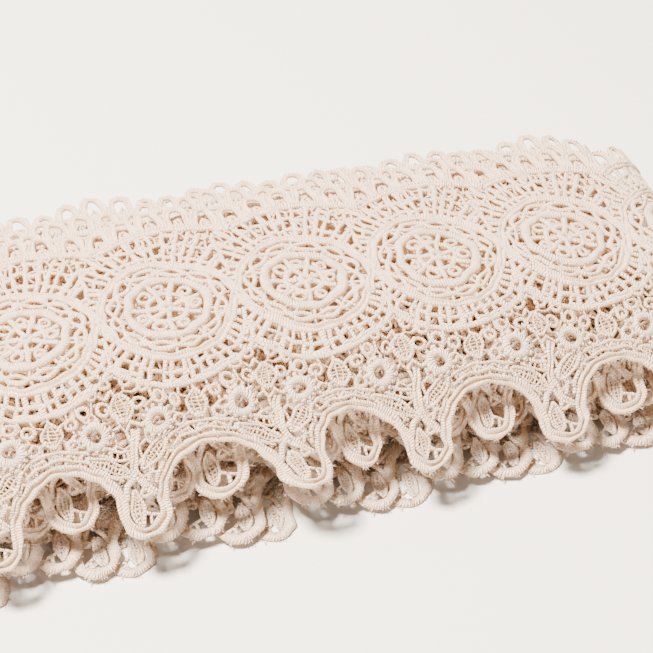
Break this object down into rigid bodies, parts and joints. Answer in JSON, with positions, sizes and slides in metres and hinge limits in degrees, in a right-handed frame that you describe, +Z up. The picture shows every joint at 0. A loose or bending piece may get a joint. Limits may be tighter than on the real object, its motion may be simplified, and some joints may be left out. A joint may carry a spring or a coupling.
{
  "type": "roll of lace trim",
  "caption": "Flat-wound roll of wide scalloped lace trim with finger edging, openwork medallions and a looped heading, crowned along its middle and resting on its flat underside.",
  "frame": {"origin": "under the middle of the roll, on the surface that it lies on", "axes": "+X along the roll's length, +Y across the band from the finger scallops to the heading, +Z up"},
  "size_m": [0.2108, 0.1206, 0.038],
  "materials": {
    "lace": "matte cream cotton thread with a slight satin sheen on the raised cords"
  },
  "bodies": {
    "root": {"lace_roll": "lace"}
  },
  "joints": []
}
